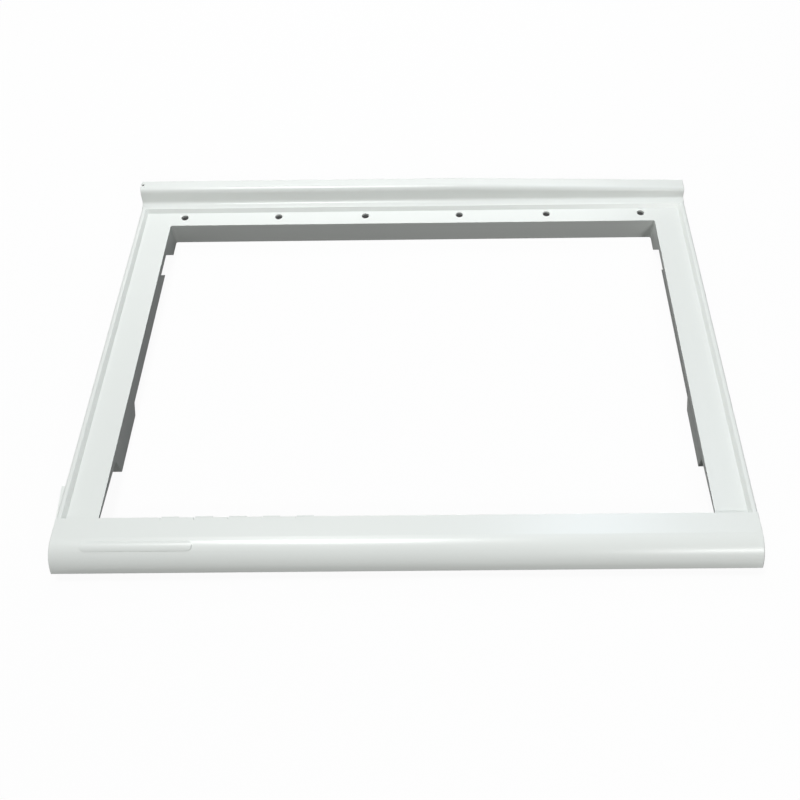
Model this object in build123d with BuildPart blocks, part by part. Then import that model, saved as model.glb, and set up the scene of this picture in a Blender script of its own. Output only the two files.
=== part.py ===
"""Crisper cover frame: one moulded piece that holds the glass pane over a refrigerator's crisper drawer.

The frame lies as it is used: +X to the right, +Y to the rear and +Z up, with the origin under the
middle of the frame, on the level of its lowest skirts.
"""

import os
from math import acos, atan2, cos, degrees, radians, sin, sqrt, tan

from build123d import *

# Driving dimensions, in millimetres and degrees
wall = 2.5
rib = 1.6

# Opening, ledge for the pane, and the border that stands round the pane
opening_width = 537.0
opening_depth = 366.0
corner_radius = 2.0
side_ledge = 28.4
rear_ledge = 19.7
border_width = 7.6
step_height = 4.0
step_run = 3.0
step_round = 1.2
edge_radius = 2.5

# Front rail
front_flat = 19.0
nose_radius = 26.0
nose_drop = 18.0
front_end_round = 1.2
front_rib_pitch = 75.0

# Rear rail
strip_depth = 12.9
rail_depth = 19.5
rail_fall = 250.0
rail_height = 16.0
rail_end_height = 9.8
rail_lean = 18.0
rail_roll = 7.5
rail_end_roll = 4.8
rail_foot = 4.5
rail_end_foot = 1.8
rail_back_round = 3.0
rail_end_round = 1.0
rear_rib_pitch = 101.0

# Walls below the ledge, measured down from its top face
skirt_depth = 25.4
guide_depth = 16.3
lip_depth = 6.5

# Side guides: the stop is set from the opening's front edge, the rear corner and its slot from the rear edge
stop_start = 64.0
stop_length = 64.0
stop_return = 15.0
corner_length = 20.1
slot_width = 30.0
left_setback = 0.0
right_setback = 1.8
side_rib_pitch = 72.0

# Hole pairs in the rear ledge
hole_diameter = 8.0
hole_inset = 12.3
hole_spacing = 105.0
pair_pitch = 202.0
pair_count = 3

# Nibs under the pane's front edge, with a notch in the front rail over each
nib_length = 15.0
nib_reach = 3.0
nib_edge = 1.2
nib_pitch = 29.5
nib_count = 5
nib_inset = 98.5
notch_reach = 2.2
notch_drop = 1.1

# Raised bar on the front rail, catch tab on the left end and pin hole in the rear rail
bar_length = 96.0
bar_width = 9.0
bar_rise = 1.0
bar_crown = 9.6
bar_inset = 26.5
bar_angle = 17.0
tab_length = 33.0
tab_reach = 2.8
tab_drop = 1.2
pin_hole_diameter = 3.0
pin_hole_inset = 2.6
pin_hole_back = 11.7

# Levels
ledge_top = skirt_depth
ledge_under = ledge_top - wall
rim_top = ledge_top + step_height
rail_top = rim_top + rail_height
outer_bottom = rim_top - nose_drop
lip_bottom = ledge_top - lip_depth
guide_bottom = ledge_top - guide_depth

# Places across the width
opening_half = opening_width / 2
step_x = opening_half + side_ledge
half = step_x + border_width
inner_half = half - wall
fall_x = half - rail_fall

# Places along the depth
nose_reach = front_flat + sqrt(nose_radius**2 - (nose_radius - nose_drop) ** 2)
frame_depth = nose_reach + opening_depth + rear_ledge + strip_depth + rail_depth
edge_y = nose_reach - frame_depth / 2
rear_y = edge_y + opening_depth
step_y = rear_y + rear_ledge
foot_y = step_y + strip_depth
back_y = foot_y + rail_depth
roll_y = edge_y - front_flat
roll_z = rim_top - nose_radius


def step_shift(inset):
    """How far the step's corners move along when its section is drawn inset."""
    return inset * tan(atan2(step_height, step_run) / 2)


def front_section(inset, x=0.0):
    """Front rail: upright rear wall, flat top and the roll down to the nose, open below."""
    radius = nose_radius - inset
    sweep = degrees(acos((nose_radius - nose_drop) / radius))
    with BuildSketch(Plane.YZ.offset(x)) as section:
        with BuildLine():
            top = Polyline(
                (edge_y - inset, outer_bottom),
                (edge_y - inset, rim_top - inset),
                (roll_y, rim_top - inset),
            )
            roll = CenterArc((roll_y, roll_z), radius, 90, sweep)
            Line(roll @ 1, top @ 0)
        make_face()
    return section.sketch


def rail_size(level, end, x):
    """A size of the rear rail at x: level from its left end, then changing evenly to its right end."""
    return level + (end - level) * max(0.0, x - fall_x) / rail_fall


def rail_rise(x):
    """Height of the rear rail above its strip at x."""
    return rail_size(rail_height, rail_end_height, x)


def rear_section(inset, x, whole=True):
    """Rear strip and its rail, which rolls back into a flat top, open below; ledge and step too if whole."""
    shift = step_shift(inset)
    crest = rim_top + rail_rise(x)
    roll_radius = rail_size(rail_roll, rail_end_roll, x)
    foot_radius = rail_size(rail_foot, rail_end_foot, x)
    lean = radians(rail_lean)
    both_radii = roll_radius + foot_radius
    face_height = rail_rise(x) - both_radii * (1 - sin(lean))
    foot_centre = foot_y - foot_radius
    roll_centre = foot_centre + both_radii * cos(lean) + face_height * tan(lean)
    ledge_and_step = [
        (rear_y + inset, outer_bottom),
        (rear_y + inset, ledge_top - inset),
        (step_y + shift, ledge_top - inset),
        (step_y + step_run + shift, rim_top - inset),
    ]
    strip_only = [(foot_y - rail_foot - wall, outer_bottom), (foot_y - rail_foot - wall, rim_top - inset)]
    with BuildSketch(Plane.YZ.offset(x)) as section:
        with BuildLine():
            foot = CenterArc((foot_centre, rim_top + foot_radius), foot_radius + inset, -90, 90 - rail_lean)
            roll = CenterArc(
                (roll_centre, crest - roll_radius), roll_radius - inset, 180 - rail_lean, rail_lean - 90
            )
            back = CenterArc(
                (back_y - rail_back_round, crest - rail_back_round), rail_back_round - inset, 90, -90
            )
            Line(foot @ 1, roll @ 0)
            Line(roll @ 1, back @ 0)
            Polyline(
                back @ 1,
                (back_y - inset, outer_bottom),
                *(ledge_and_step if whole else strip_only),
                foot @ 0,
            )
        make_face()
    return section.sketch


def side_section(side, inset, y, gusset=False):
    """Side ledge, sloped step, border and outer wall, open below, with the lip unless it is a gusset."""
    shift = step_shift(inset)
    top = [
        (side * (opening_half + inset), ledge_top - inset),
        (side * (step_x + shift), ledge_top - inset),
        (side * (step_x + step_run + shift), rim_top - inset),
        (side * (half - inset), rim_top - inset),
        (side * (half - inset), outer_bottom),
    ]
    lip_face = [(side * (opening_half + inset), lip_bottom)]
    lip_back = [(side * (opening_half + wall), outer_bottom), (side * (opening_half + wall), lip_bottom)]
    with BuildSketch(Plane.XZ.offset(-y)) as section:
        with BuildLine():
            Polyline(*(top if gusset else lip_face + top + lip_back), close=True)
        make_face()
    return section.sketch


def places(pitch, span):
    """Even places at a stated pitch, centred on a span."""
    count = int(span // pitch)
    return [(i - (count - 1) / 2) * pitch for i in range(count)]


# Front rail, full, with its ends rounded over
with BuildPart() as front_rail:
    extrude(front_section(0), amount=half, both=True)
    front_ends = front_rail.edges().filter_by(lambda e: abs(e.center().X) > half - wall / 2)
    fillet(
        front_ends.filter_by(lambda e: e.center().Y < edge_y - wall and e.center().Z > outer_bottom + wall),
        radius=front_end_round,
    )

# Rear rail, full, with its ends rounded over
with BuildPart() as rear_rail:
    extrude(rear_section(0, fall_x, whole=False), amount=-(fall_x + half))
    loft([rear_section(0, fall_x, whole=False), rear_section(0, half, whole=False)], ruled=True)
    rail_ends = rear_rail.edges().filter_by(lambda e: abs(e.center().X) > half - wall / 2)
    fillet(
        rail_ends.filter_by(lambda e: e.center().Z > rim_top + rail_rise(e.center().X) / 2),
        radius=rail_end_round,
    )

# Side members, full, with the border's two top edges rounded over
with BuildPart() as side_members:
    for side in (-1, 1):
        extrude(side_section(side, 0, edge_y - wall), amount=-(back_y - edge_y + wall))
    rim_edges = side_members.edges().filter_by(Axis.Y).group_by(Axis.Z)[-1]
    fillet(rim_edges.filter_by(lambda e: abs(e.center().X) > half - wall / 2), radius=edge_radius)
    rim_edges = side_members.edges().filter_by(Axis.Y).group_by(Axis.Z)[-1]
    fillet(rim_edges.filter_by(lambda e: abs(e.center().X) < step_x + step_run + wall / 5), radius=step_round)

# Raised bar for the front rail, crowned across its width
bar_turn = radians(bar_angle)
bar_plane = Plane(
    origin=(
        bar_inset + bar_length / 2 - half,
        roll_y - nose_radius * sin(bar_turn),
        roll_z + nose_radius * cos(bar_turn),
    ),
    x_dir=(1, 0, 0),
    z_dir=(0, -sin(bar_turn), cos(bar_turn)),
)
with BuildPart() as bar:
    with BuildSketch(bar_plane.offset(-wall / 2)):
        SlotOverall(bar_length, bar_width)
    extrude(amount=bar_rise + wall / 2)
    with Locations(bar_plane.offset(bar_rise - bar_crown)):
        Cylinder(bar_crown, bar_length, rotation=(0, 90, 0), mode=Mode.INTERSECT)

with BuildPart() as cover_frame:
    add(front_rail.part)
    add(rear_rail.part)
    add(side_members.part)
    rear_half = half - border_width / 2
    extrude(rear_section(0, fall_x), amount=-(fall_x + rear_half))
    loft([rear_section(0, fall_x), rear_section(0, rear_half)], ruled=True)

    # Hollow undersides, one wall thick all round
    extrude(front_section(wall), amount=inner_half, both=True, mode=Mode.SUBTRACT)
    extrude(rear_section(wall, fall_x), amount=-(fall_x + inner_half), mode=Mode.SUBTRACT)
    loft([rear_section(wall, fall_x), rear_section(wall, inner_half)], ruled=True, mode=Mode.SUBTRACT)
    for side in (-1, 1):
        extrude(side_section(side, wall, edge_y), amount=-opening_depth, mode=Mode.SUBTRACT)

    # Lip that fades out into the ledge in front of the stops
    with BuildSketch(Plane.YZ):
        with BuildLine():
            Polyline(
                (edge_y, ledge_under),
                (edge_y, lip_bottom),
                (edge_y + stop_start, lip_bottom),
                close=True,
            )
        make_face()
    extrude(amount=opening_half + wall, both=True, mode=Mode.SUBTRACT)

    # Rear skirt
    with BuildSketch(Plane.XY):
        with Locations((0, rear_y + wall / 2)):
            Rectangle(opening_width + 2 * wall, wall)
    extrude(amount=ledge_under)

    # Side guides: rear corner, slanted slot, guide wall, ramp and stop
    slot_end = opening_depth - corner_length - lip_bottom
    slot_start = slot_end - slot_width
    ramp_start = stop_start + stop_length
    for side, setback in ((-1, left_setback), (1, right_setback)):
        with BuildSketch(Plane.YZ.offset(side * opening_half)):
            with BuildLine():
                Polyline(
                    (rear_y + wall, ledge_under),
                    (rear_y + wall, 0),
                    (rear_y - corner_length, 0),
                    (edge_y + slot_end, lip_bottom),
                    (edge_y + slot_end, ledge_under),
                    close=True,
                )
            make_face()
        extrude(amount=side * wall)
        with BuildSketch(Plane.YZ.offset(side * (opening_half + setback))):
            with BuildLine():
                Polyline(
                    (edge_y + slot_start, ledge_under),
                    (edge_y + slot_start, lip_bottom),
                    (edge_y + slot_start + lip_bottom - guide_bottom, guide_bottom),
                    (edge_y + ramp_start + guide_bottom, guide_bottom),
                    (edge_y + ramp_start, 0),
                    (edge_y + stop_start, 0),
                    (edge_y + stop_start, ledge_under),
                    close=True,
                )
            make_face()
        extrude(amount=side * wall)
        return_x = side * (opening_half + setback + stop_return / 2)
        with BuildSketch(Plane.XY):
            with Locations((return_x, edge_y + stop_start + wall / 2)):
                Rectangle(stop_return, wall)
        extrude(amount=ledge_under)

    # Ribs across the side channels, the front rail and the rear rail
    for side in (-1, 1):
        for y in places(side_rib_pitch, opening_depth):
            rib_y = edge_y + opening_depth / 2 + y
            extrude(side_section(side, wall, rib_y, gusset=True), amount=rib / 2, both=True)
    for x in places(front_rib_pitch, 2 * inner_half):
        extrude(front_section(wall, x), amount=rib / 2, both=True)
    for x in places(rear_rib_pitch, 2 * inner_half):
        extrude(rear_section(wall / 2, x), amount=rib / 2, both=True)

    # Nibs under the pane's front edge
    nib_places = [nib_inset - half + i * nib_pitch for i in range(nib_count)]
    with BuildSketch(*[Plane.YZ.offset(x) for x in nib_places]):
        with BuildLine():
            Polyline(
                (edge_y - wall, ledge_top),
                (edge_y + nib_reach, ledge_top),
                (edge_y + nib_reach, ledge_top - nib_edge),
                (edge_y - wall, ledge_top - nib_edge - nib_reach - wall),
                close=True,
            )
        make_face()
    extrude(amount=nib_length / 2, both=True)
    with BuildSketch(Plane.XY.offset(rim_top)):
        with Locations(*[(x, edge_y) for x in nib_places]):
            Rectangle(nib_length, 2 * notch_reach)
    extrude(amount=-notch_drop, mode=Mode.SUBTRACT)

    # Raised bar on the roll of the front rail, near its left end
    add(bar.part)

    # Catch tab on the left end, widest at its rear
    with BuildSketch(Plane.XY.offset(rim_top - tab_drop)):
        with BuildLine():
            Polyline(
                (wall - half, edge_y),
                (-half, edge_y),
                (-half - tab_reach, edge_y + tab_length),
                (wall - half, edge_y + tab_length),
                close=True,
            )
        make_face()
    extrude(amount=outer_bottom + tab_drop - rim_top)

    # Hole pairs in the rear ledge
    with Locations((0, rear_y + hole_inset, ledge_top)):
        with GridLocations(pair_pitch, 1, pair_count, 1):
            with GridLocations(hole_spacing, 1, 2, 1):
                Hole(hole_diameter / 2, depth=wall)

    # Pin hole in the rear rail's top, at its left end
    with Locations((pin_hole_inset - half, foot_y + pin_hole_back, rail_top)):
        Hole(pin_hole_diameter / 2, depth=2 * wall)

    # Rear corners of the opening
    corners = cover_frame.edges().filter_by(Axis.Z).filter_by(
        lambda e: abs(abs(e.center().X) - opening_half) < rib / 2 and abs(e.center().Y - rear_y) < rib / 2
    )
    fillet(corners, radius=corner_radius)

os.makedirs("parts", exist_ok=True)
cover_frame.part.label = "cover_frame"
export_step(cover_frame.part, "parts/cover_frame.step")
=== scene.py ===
"""Dresses the crisper cover frame in its moulded plastic and sets it on a plain pale stage."""

from math import cos, sin

import bmesh
import bpy
from bpy.props import FloatProperty, FloatVectorProperty, PointerProperty
from mathutils import Matrix, Vector


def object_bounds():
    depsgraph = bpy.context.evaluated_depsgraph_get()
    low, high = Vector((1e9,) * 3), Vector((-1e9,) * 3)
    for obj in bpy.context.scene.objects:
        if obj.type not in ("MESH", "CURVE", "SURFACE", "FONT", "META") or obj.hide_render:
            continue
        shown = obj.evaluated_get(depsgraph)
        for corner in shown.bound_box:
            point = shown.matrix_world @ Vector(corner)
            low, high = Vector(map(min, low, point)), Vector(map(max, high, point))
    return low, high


bl_info = {
    "name": "Crisper Cover Frame",
    "version": (1, 0, 0),
    "blender": (4, 5, 0),
    "location": "3D View > Sidebar > Cover Frame",
    "description": "Finishes a moulded refrigerator crisper cover frame and sets its stage",
    "category": "Object",
}

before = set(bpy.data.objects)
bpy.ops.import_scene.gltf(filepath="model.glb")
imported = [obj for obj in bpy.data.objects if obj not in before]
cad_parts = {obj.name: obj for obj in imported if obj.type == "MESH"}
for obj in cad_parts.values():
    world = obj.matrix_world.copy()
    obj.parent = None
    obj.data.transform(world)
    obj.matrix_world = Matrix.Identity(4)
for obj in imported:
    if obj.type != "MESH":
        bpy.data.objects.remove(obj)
CAD_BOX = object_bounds()
MM = 0.001
IMAGE_PIXELS = 800.0
SENSOR_MM = 36.0
WHITE = (1, 1, 1, 1)

# Sockets of the Mix node when it mixes colours
MIX_FACTOR, MIX_FIRST, MIX_SECOND = 0, 6, 7
MIX_RESULT = 2

# How broken up the flow clouds and the mould's ripple are
CLOUD_DETAIL = 2.0
CLOUD_BREAKUP = 0.4
RIPPLE_DETAIL = 1.0


def linear(hex_colour):
    """Turns an sRGB hex colour into linear red, green and blue."""
    values = [int(hex_colour[i:i + 2], 16) / 255 for i in (1, 3, 5)]
    return tuple(v / 12.92 if v <= 0.04045 else ((v + 0.055) / 1.055) ** 2.4 for v in values)


def add_node(tree, kind, settings=None, inputs=None):
    """Adds a node, sets its properties and fills its inputs with values or with other nodes' outputs."""
    node = tree.nodes.new(kind)
    for name, value in (settings or {}).items():
        setattr(node, name, value)
    for name, value in (inputs or {}).items():
        if isinstance(value, bpy.types.NodeSocket):
            tree.links.new(value, node.inputs[name])
        else:
            node.inputs[name].default_value = value
    return node


def new_material(name):
    """Starts an empty node material and returns it with its node tree."""
    material = bpy.data.materials.new(name)
    material.use_nodes = True
    material.node_tree.nodes.clear()
    return material, material.node_tree


def colour_setting(name, description, default):
    """A colour, as a property."""
    return FloatVectorProperty(
        name=name,
        description=description,
        subtype="COLOR",
        size=3,
        min=0,
        max=1,
        default=linear(default),
    )


def place_setting(name, description, default):
    """A point on the stage, as a property."""
    return FloatVectorProperty(
        name=name,
        description=description,
        subtype="TRANSLATION",
        unit="LENGTH",
        size=3,
        default=default,
    )


def extent_setting(name, description, default):
    """A lamp's width and depth, as a property."""
    return FloatVectorProperty(
        name=name,
        description=description,
        unit="LENGTH",
        size=2,
        default=default,
    )


def power_setting(name, description, default):
    """A lamp's power, as a property."""
    return FloatProperty(name=name, description=description, unit="POWER", default=default)


class PlasticSettings(bpy.types.PropertyGroup):
    """The frame's moulded plastic."""

    colour: colour_setting("Plastic", "Colour of the plastic", "#EBEFEB")
    cloud_colour: colour_setting(
        "Flow cloud", "Slightly duller colour where the melt cooled more slowly", "#E8ECE8"
    )
    cloud_size: FloatProperty(
        name="Cloud size",
        description="Typical width of a flow cloud",
        unit="LENGTH",
        default=140 * MM,
    )
    grain_size: FloatProperty(
        name="Grain size",
        description="Width of the fine ripple that the mould's face leaves",
        unit="LENGTH",
        default=2.5 * MM,
    )
    grain_depth: FloatProperty(
        name="Grain depth",
        description="Depth of the fine ripple",
        unit="LENGTH",
        default=0.008 * MM,
    )
    roughness: FloatProperty(
        name="Roughness",
        description="Roughness of the moulded surface",
        subtype="FACTOR",
        default=0.28,
    )
    gloss_change: FloatProperty(
        name="Gloss change",
        description="How far the roughness goes up and down with the flow clouds",
        subtype="FACTOR",
        default=0.015,
    )
    refraction: FloatProperty(
        name="Refraction",
        description="Index of refraction of the plastic",
        default=1.5,
    )


class StageSettings(bpy.types.PropertyGroup):
    """The floor, the lamps and the camera."""

    floor_size: FloatProperty(
        name="Floor size",
        description="Side of the square floor",
        unit="LENGTH",
        default=12.0,
    )
    frame_middle: place_setting("Frame middle", "What the three high lamps face", (0.0, 0.0, 0.0))
    focal_pixels: FloatProperty(
        name="Focal length in pixels",
        description="Lens as a length in image pixels",
        default=881.57,
    )
    centre_pixel: FloatProperty(
        name="Centre column",
        description="Image column that the lens axis meets",
        default=440.69,
    )
    camera_place: place_setting(
        "Camera place", "Where the camera stands", (36.35 * MM, -547.4 * MM, 709.19 * MM)
    )
    camera_pitch: FloatProperty(
        name="Pitch",
        description="How far the camera looks down",
        subtype="ANGLE",
        default=0.953733,
    )
    camera_yaw: FloatProperty(
        name="Yaw",
        description="How far the camera is turned to the left",
        subtype="ANGLE",
        default=0.0118834,
    )
    camera_roll: FloatProperty(
        name="Roll",
        description="How far the camera is tipped to its side",
        subtype="ANGLE",
        default=-0.0196197,
    )
    middle_place: place_setting(
        "Middle place", "Where the lamp high over the middle hangs", (-0.3, 0.0, 3.0)
    )
    middle_size: extent_setting(
        "Middle size", "Width and depth of the lamp over the middle", (0.6, 0.6)
    )
    middle_power: power_setting("Middle power", "Power of the lamp over the middle", 17.5)
    left_place: place_setting(
        "Left place", "Where the lamp high over the left hangs", (-0.6, 0.2, 3.0)
    )
    left_size: extent_setting(
        "Left size", "Width and depth of the lamp over the left", (0.5, 0.5)
    )
    left_power: power_setting("Left power", "Power of the lamp over the left", 38.0)
    right_place: place_setting(
        "Right place", "Where the small lamp behind the right hangs", (0.7, 1.3, 3.0)
    )
    right_size: extent_setting(
        "Right size", "Width and depth of the lamp behind the right", (0.4, 0.4)
    )
    right_power: power_setting("Right power", "Power of the lamp behind the right", 9.5)
    right_colour: colour_setting(
        "Right colour", "Colour of the lamp behind the right, a little cooler than the others", "#DFEBFF"
    )
    front_place: place_setting(
        "Front place", "Where the strip at the front right stands", (0.66, -0.95, 0.8)
    )
    front_target: place_setting(
        "Front target", "What the strip at the front right faces", (0.25, -0.2, 0.0)
    )
    front_size: extent_setting(
        "Front size", "Width and depth of the strip at the front right", (0.36, 0.05)
    )
    front_power: power_setting("Front power", "Power of the strip at the front right", 3.3)
    rear_place: place_setting(
        "Rear place", "Where the low lamp behind the frame stands", (-0.08, 0.9, 0.85)
    )
    rear_target: place_setting(
        "Rear target", "What the lamp behind the frame faces", (0.0, 0.2, 0.0)
    )
    rear_size: extent_setting(
        "Rear size", "Width and depth of the lamp behind the frame", (1.1, 0.3)
    )
    rear_power: power_setting("Rear power", "Power of the lamp behind the frame", 3.5)
    back_place: place_setting(
        "Back place", "Where the strip close to the floor behind the frame stands", (0.0, 1.5, 0.13)
    )
    back_target: place_setting(
        "Back target", "What the strip behind the frame faces", (0.0, 0.23, 0.03)
    )
    back_size: extent_setting(
        "Back size", "Width and height of the strip behind the frame", (1.4, 0.16)
    )
    back_power: power_setting("Back power", "Power of the strip behind the frame", 4.0)
    sky_side: FloatVectorProperty(
        name="Bright side",
        description="Direction of the brighter side of the surroundings",
        subtype="DIRECTION",
        size=3,
        default=(-0.32, -0.95, 0.0),
    )
    sky_level: FloatProperty(
        name="Sky level",
        description="Brightness of the surroundings on their brighter side",
        default=0.47,
    )
    reflected_share: FloatProperty(
        name="Reflected share",
        description="How much of the white sky and of the floor below shows in the plastic's gloss",
        subtype="FACTOR",
        default=0.05,
    )
    side_share: FloatProperty(
        name="Side share",
        description="How much of the white floor beside the frame shows in the plastic's gloss",
        subtype="FACTOR",
        default=1.0,
    )
    side_start: FloatProperty(
        name="Side start",
        description="Distance from the middle at which the floor beside the frame starts",
        unit="LENGTH",
        default=325 * MM,
    )
    side_edge: FloatProperty(
        name="Side edge",
        description="Width over which the floor's share in the gloss grows",
        unit="LENGTH",
        default=20 * MM,
    )
    floor_white: FloatProperty(
        name="Floor white",
        description="Part of the seen floor that is plain white, the rest takes shadows",
        subtype="FACTOR",
        default=0.95,
    )
    floor_grey: FloatProperty(
        name="Floor grey",
        description="How pale the part of the seen floor is that takes shadows",
        subtype="FACTOR",
        default=0.8,
    )
    floor_bounce: FloatProperty(
        name="Floor bounce",
        description="How much light the floor throws back up",
        subtype="FACTOR",
        default=0.03,
    )
    # Painted shade: these set where and how far the floor's white is dimmed by position below the rear
    # rail
    shade_width: FloatProperty(
        name="Shade width",
        description="Width of the deep shade on the floor below the rear rail",
        unit="LENGTH",
        default=580 * MM,
    )
    shade_depth: FloatProperty(
        name="Shade depth",
        description="How far the deep shade reaches forward from the rear rail's rear face",
        unit="LENGTH",
        default=46 * MM,
    )
    shade_edge: FloatProperty(
        name="Shade edge",
        description="Width of the shade's soft edge",
        unit="LENGTH",
        default=10 * MM,
    )
    shade_level: FloatProperty(
        name="Shade level",
        description="Brightness of the floor in the deep shade",
        subtype="FACTOR",
        default=0.07,
    )


def moulded_polystyrene(settings):
    """Injection-moulded white polystyrene: an even pale skin with a soft gloss and a faint ripple."""
    material, tree = new_material("Moulded white polystyrene")
    position = add_node(tree, "ShaderNodeTexCoord").outputs["Object"]

    # Broad clouds from the melt's flow, too faint to read as dirt
    cloud = add_node(
        tree,
        "ShaderNodeTexNoise",
        inputs={
            "Vector": position,
            "Scale": 1 / settings.cloud_size,
            "Detail": CLOUD_DETAIL,
            "Roughness": CLOUD_BREAKUP,
        },
    )
    tint = add_node(
        tree,
        "ShaderNodeMix",
        {"data_type": "RGBA"},
        {
            MIX_FACTOR: cloud.outputs["Fac"],
            MIX_FIRST: (*settings.colour, 1),
            MIX_SECOND: (*settings.cloud_colour, 1),
        },
    )

    # The gloss varies a little with the same flow
    gloss = add_node(
        tree,
        "ShaderNodeMapRange",
        inputs={
            "Value": cloud.outputs["Fac"],
            "To Min": settings.roughness - settings.gloss_change,
            "To Max": settings.roughness + settings.gloss_change,
        },
    )

    # Fine ripple of the mould's face, drawn coarser than it is so that it shows in the highlights
    grain = add_node(
        tree,
        "ShaderNodeTexNoise",
        inputs={"Vector": position, "Scale": 1 / settings.grain_size, "Detail": RIPPLE_DETAIL},
    )
    ripple = add_node(
        tree,
        "ShaderNodeBump",
        inputs={"Height": grain.outputs["Fac"], "Strength": 1.0, "Distance": settings.grain_depth},
    )
    skin = add_node(
        tree,
        "ShaderNodeBsdfPrincipled",
        inputs={
            "Base Color": tint.outputs[MIX_RESULT],
            "Roughness": gloss.outputs["Result"],
            "Normal": ripple.outputs["Normal"],
            "IOR": settings.refraction,
            "Metallic": 0.0,
        },
    )
    add_node(tree, "ShaderNodeOutputMaterial", inputs={"Surface": skin.outputs["BSDF"]})
    return material


def seen_share(tree, reflected_share):
    """How far a ray finds white surroundings: wholly from the camera, and in part in the gloss."""
    path = add_node(tree, "ShaderNodeLightPath")
    direct = add_node(
        tree,
        "ShaderNodeMath",
        {"operation": "MAXIMUM"},
        {0: path.outputs["Is Camera Ray"], 1: path.outputs["Is Transmission Ray"]},
    )
    reflected = add_node(
        tree,
        "ShaderNodeMath",
        {"operation": "MULTIPLY"},
        {0: path.outputs["Is Glossy Ray"], 1: reflected_share},
    )
    share = add_node(
        tree,
        "ShaderNodeMath",
        {"operation": "MAXIMUM"},
        {0: direct.outputs["Value"], 1: reflected.outputs["Value"]},
    )
    return share.outputs["Value"]


def outside(tree, value, centre, reach, edge):
    """0 within a reach of a centre and 1 beyond it, with a soft edge."""
    offset = add_node(tree, "ShaderNodeMath", {"operation": "SUBTRACT"}, {0: value, 1: centre})
    distance = add_node(tree, "ShaderNodeMath", {"operation": "ABSOLUTE"}, {0: offset.outputs["Value"]})
    share = add_node(
        tree,
        "ShaderNodeMapRange",
        {"interpolation_type": "SMOOTHSTEP"},
        {"Value": distance.outputs["Value"], "From Min": reach - edge, "From Max": reach},
    )
    return share.outputs["Result"]


def pale_floor(settings):
    """White studio floor that keeps a soft shadow, with a deep shade painted into its white below the
    rear rail.
    """
    material, tree = new_material("Pale studio floor")
    position = add_node(tree, "ShaderNodeTexCoord").outputs["Object"]
    axes = add_node(tree, "ShaderNodeSeparateXYZ", inputs={"Vector": position})

    # Painted shade: the floor's white is dimmed by position below the rear rail, where it shows through
    # the holes of the rear ledge
    half_width = settings.shade_width / 2
    half_depth = settings.shade_depth / 2
    shade_middle = CAD_BOX[1][1] - half_depth
    lit = add_node(
        tree,
        "ShaderNodeMath",
        {"operation": "MAXIMUM"},
        {
            0: outside(tree, axes.outputs["X"], 0.0, half_width, settings.shade_edge),
            1: outside(tree, axes.outputs["Y"], shade_middle, half_depth, settings.shade_edge),
        },
    )
    strength = add_node(
        tree,
        "ShaderNodeMapRange",
        inputs={"Value": lit.outputs["Value"], "To Min": settings.shade_level, "To Max": 1.0},
    )
    white = add_node(
        tree,
        "ShaderNodeEmission",
        inputs={"Color": WHITE, "Strength": strength.outputs["Result"]},
    )
    shade = add_node(tree, "ShaderNodeBsdfDiffuse", inputs={"Color": (*[settings.floor_grey] * 3, 1)})
    shown = add_node(
        tree,
        "ShaderNodeMixShader",
        inputs={0: settings.floor_white, 1: shade.outputs["BSDF"], 2: white.outputs["Emission"]},
    )
    dim = add_node(tree, "ShaderNodeBsdfDiffuse", inputs={"Color": (*[settings.floor_bounce] * 3, 1)})

    # The outer edges pick up the white floor beside the frame, and the upright inner faces stay dark
    beside = add_node(
        tree,
        "ShaderNodeMapRange",
        inputs={
            "Value": outside(tree, axes.outputs["X"], 0.0, settings.side_start, settings.side_edge),
            "To Min": settings.reflected_share,
            "To Max": settings.side_share,
        },
    )
    surface = add_node(
        tree,
        "ShaderNodeMixShader",
        inputs={
            0: seen_share(tree, beside.outputs["Result"]),
            1: dim.outputs["BSDF"],
            2: shown.outputs["Shader"],
        },
    )
    add_node(tree, "ShaderNodeOutputMaterial", inputs={"Surface": surface.outputs["Shader"]})
    return material


def soft_sky(settings):
    """Surroundings that show as white and light the frame gently from one side."""
    world = bpy.data.worlds.new("Soft sky")
    world.use_nodes = True
    tree = world.node_tree
    tree.nodes.clear()
    direction = add_node(tree, "ShaderNodeTexCoord").outputs["Generated"]
    facing = add_node(
        tree,
        "ShaderNodeVectorMath",
        {"operation": "DOT_PRODUCT"},
        {0: direction, 1: settings.sky_side},
    )
    level = add_node(
        tree,
        "ShaderNodeMapRange",
        inputs={"Value": facing.outputs["Value"], "To Max": settings.sky_level},
    )
    strength = add_node(
        tree,
        "ShaderNodeMapRange",
        inputs={
            "Value": seen_share(tree, settings.reflected_share),
            "To Min": level.outputs["Result"],
            "To Max": 1.0,
        },
    )
    sky = add_node(
        tree,
        "ShaderNodeBackground",
        inputs={"Color": WHITE, "Strength": strength.outputs["Result"]},
    )
    add_node(tree, "ShaderNodeOutputWorld", inputs={"Surface": sky.outputs["Background"]})
    bpy.context.scene.world = world


def area_lamp(name, place, target, size, power, colour=WHITE[:3]):
    """Adds a rectangular lamp that faces a point."""
    data = bpy.data.lights.new(name, "AREA")
    data.shape = "RECTANGLE"
    data.size, data.size_y = size
    data.energy = power
    data.color = colour
    lamp = bpy.data.objects.new(name, data)
    lamp.location = place
    lamp.rotation_euler = (Vector(target) - Vector(place)).to_track_quat("-Z", "Y").to_euler()
    bpy.context.scene.collection.objects.link(lamp)


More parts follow.
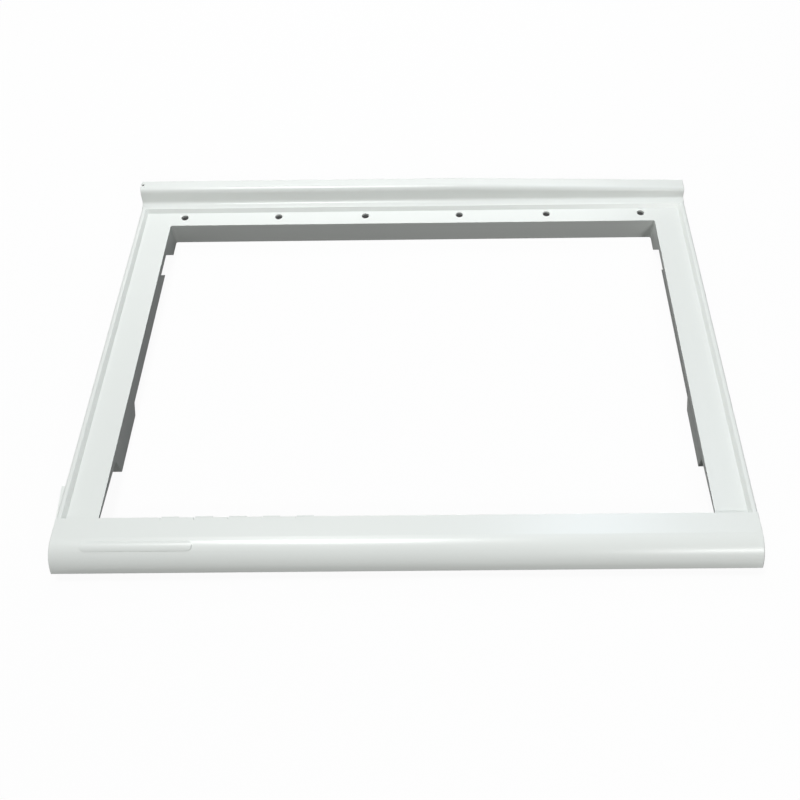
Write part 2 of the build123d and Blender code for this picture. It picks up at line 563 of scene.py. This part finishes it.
def set_camera(settings):
    """Stands the camera at the photograph's place and angle."""
    pitch, yaw, roll = settings.camera_pitch, settings.camera_yaw, settings.camera_roll
    right = Vector((cos(yaw), sin(yaw), 0))
    ahead = Vector((-sin(yaw), cos(yaw), 0))
    look = ahead * cos(pitch) - Vector((0, 0, sin(pitch)))
    up = ahead * sin(pitch) + Vector((0, 0, cos(pitch)))
    side = right * cos(roll) + up * sin(roll)
    top = up * cos(roll) - right * sin(roll)
    data = bpy.data.cameras.new("Camera")
    data.sensor_width = SENSOR_MM
    data.lens = settings.focal_pixels / IMAGE_PIXELS * SENSOR_MM
    data.shift_x = (IMAGE_PIXELS / 2 - settings.centre_pixel) / IMAGE_PIXELS
    camera = bpy.data.objects.new("Camera", data)
    turn = Matrix((side, top, -look)).transposed().to_4x4()
    camera.matrix_world = Matrix.Translation(settings.camera_place) @ turn
    bpy.context.scene.collection.objects.link(camera)
    bpy.context.scene.camera = camera


class COVERFRAME_OT_finish_frame(bpy.types.Operator):
    """Gives the cover frame its moulded plastic"""

    bl_idname = "coverframe.finish_frame"
    bl_label = "Finish Cover Frame"

    def execute(self, context):
        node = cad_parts["cover_frame"]
        node.data.materials.clear()
        node.data.materials.append(moulded_polystyrene(context.scene.coverframe_plastic))
        return {"FINISHED"}


class COVERFRAME_OT_build_stage(bpy.types.Operator):
    """Adds the floor, the lamps, the surroundings and the camera"""

    bl_idname = "coverframe.build_stage"
    bl_label = "Build Stage"

    def execute(self, context):
        settings = context.scene.coverframe_stage
        mesh = bpy.data.meshes.new("floor")
        shape = bmesh.new()
        bmesh.ops.create_grid(shape, x_segments=1, y_segments=1, size=settings.floor_size / 2)
        shape.to_mesh(mesh)
        shape.free()
        floor = bpy.data.objects.new("floor", mesh)
        context.scene.collection.objects.link(floor)
        mesh.materials.append(pale_floor(settings))
        soft_sky(settings)
        area_lamp(
            "Middle lamp",
            settings.middle_place,
            settings.frame_middle,
            settings.middle_size,
            settings.middle_power,
        )
        area_lamp(
            "Left lamp",
            settings.left_place,
            settings.frame_middle,
            settings.left_size,
            settings.left_power,
        )
        area_lamp(
            "Right lamp",
            settings.right_place,
            settings.frame_middle,
            settings.right_size,
            settings.right_power,
            settings.right_colour,
        )
        area_lamp(
            "Front strip",
            settings.front_place,
            settings.front_target,
            settings.front_size,
            settings.front_power,
        )
        area_lamp(
            "Rear lamp",
            settings.rear_place,
            settings.rear_target,
            settings.rear_size,
            settings.rear_power,
        )
        area_lamp(
            "Back strip",
            settings.back_place,
            settings.back_target,
            settings.back_size,
            settings.back_power,
        )
        set_camera(settings)
        context.scene.view_settings.view_transform = "Standard"
        return {"FINISHED"}


class COVERFRAME_PT_panel(bpy.types.Panel):
    """Lists the steps and settings in the sidebar"""

    bl_idname = "COVERFRAME_PT_panel"
    bl_label = "Crisper Cover Frame"
    bl_space_type = "VIEW_3D"
    bl_region_type = "UI"
    bl_category = "Cover Frame"

    def draw(self, context):
        layout = self.layout
        layout.operator(COVERFRAME_OT_finish_frame.bl_idname)
        layout.operator(COVERFRAME_OT_build_stage.bl_idname)
        for settings in (context.scene.coverframe_plastic, context.scene.coverframe_stage):
            box = layout.box()
            for name in settings.__annotations__:
                box.prop(settings, name)


CLASSES = (
    PlasticSettings,
    StageSettings,
    COVERFRAME_OT_finish_frame,
    COVERFRAME_OT_build_stage,
    COVERFRAME_PT_panel,
)


def register():
    for cls in CLASSES:
        bpy.utils.register_class(cls)
    bpy.types.Scene.coverframe_plastic = PointerProperty(type=PlasticSettings)
    bpy.types.Scene.coverframe_stage = PointerProperty(type=StageSettings)


def unregister():
    del bpy.types.Scene.coverframe_stage
    del bpy.types.Scene.coverframe_plastic
    for cls in reversed(CLASSES):
        bpy.utils.unregister_class(cls)


def main():
    register()
    bpy.ops.coverframe.finish_frame()
    bpy.ops.coverframe.build_stage()


if __name__ == "__main__":
    main()
